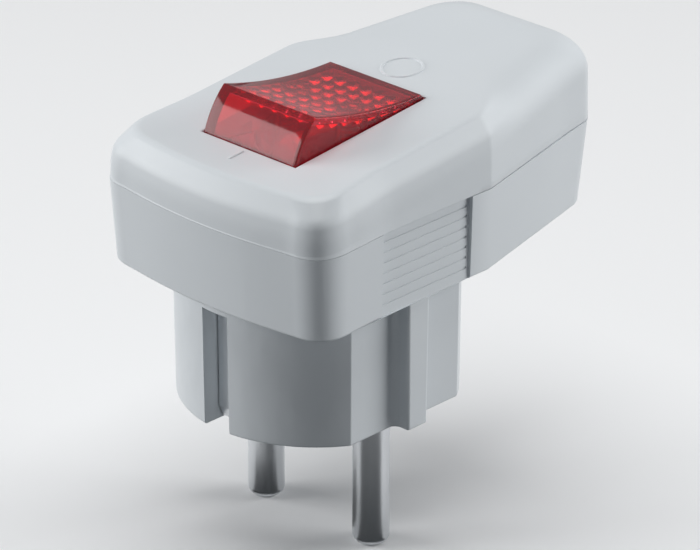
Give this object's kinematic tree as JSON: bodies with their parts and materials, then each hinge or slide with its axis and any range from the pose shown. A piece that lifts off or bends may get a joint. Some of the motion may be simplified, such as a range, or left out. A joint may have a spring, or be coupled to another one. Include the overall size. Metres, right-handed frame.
{
  "type": "angled plug with rocker switch",
  "caption": "Angled two-pin earthed plug with side earth contacts, a sloping cover and a lit rocker switch.",
  "frame": {"origin": "centre of the flat face that the pins stand out of, midway between the pins", "axes": "-Z is the way the pins point, +X points to the cord's end, the pins are apart along Y"},
  "size_m": [0.0583, 0.0372, 0.0608],
  "materials": {
    "housing_plastic": "satin, light grey",
    "rocker_plastic": "translucent red, glossy",
    "plated_metal": "nickel plated, softly bright",
    "brass": "machined",
    "contact_metal": "silver, dull",
    "spring_steel": "drawn wire",
    "screw_steel": "zinc plated",
    "base_plastic": "satin, cream",
    "clamp_plastic": "satin, dark grey",
    "bush_rubber": "soft, grey",
    "lamp_glass": "clear glass",
    "resistor_ceramic": "lacquered ceramic"
  },
  "bodies": {
    "plug": {"lower_housing": "housing_plastic", "top_cover": "housing_plastic", "live_pin": "plated_metal", "neutral_pin": "plated_metal", "earth_strap": "plated_metal", "switch_base": "base_plastic", "cord_clamp": "clamp_plastic", "cable_bush": "bush_rubber", "neon_lamp": "lamp_glass", "lamp_resistor": "resistor_ceramic", "earth_terminal": "brass", "terminal_screws": "screw_steel", "clamp_screws": "screw_steel", "base_screws": "screw_steel", "housing_screws": "screw_steel", "live_saddle": "brass", "live_fixed_contact": "brass", "live_terminal": "brass", "neutral_saddle": "brass", "neutral_fixed_contact": "brass", "neutral_terminal": "brass"},
    "rocker": {"rocker": "rocker_plastic", "live_plunger": "clamp_plastic", "live_plunger_spring": "spring_steel", "neutral_plunger": "clamp_plastic", "neutral_plunger_spring": "spring_steel"},
    "live_lever": {"live_lever": "brass", "live_moving_contact": "contact_metal"},
    "neutral_lever": {"neutral_lever": "brass", "neutral_moving_contact": "contact_metal"}
  },
  "joints": [
    {"name": "rocker_tilt", "type": "hinge", "parent": "plug", "child": "rocker", "pos_m": [0, 0, 0.0326], "axis": [0, -1, 0], "range_deg": [0, 27.2]},
    {"name": "live_lever_rock", "type": "hinge", "parent": "plug", "child": "live_lever", "pos_m": [0.00086, 0.0048, 0.02415], "axis": [0, 1, 0], "range_deg": [0, 18]},
    {"name": "neutral_lever_rock", "type": "hinge", "parent": "plug", "child": "neutral_lever", "pos_m": [0.00086, -0.0048, 0.02415], "axis": [0, 1, 0], "range_deg": [0, 18]}
  ],
  "couplings": [
    {"joint": "live_lever_rock", "follows": "rocker_tilt", "ratio": 0.6617},
    {"joint": "neutral_lever_rock", "follows": "rocker_tilt", "ratio": 0.6617}
  ]
}
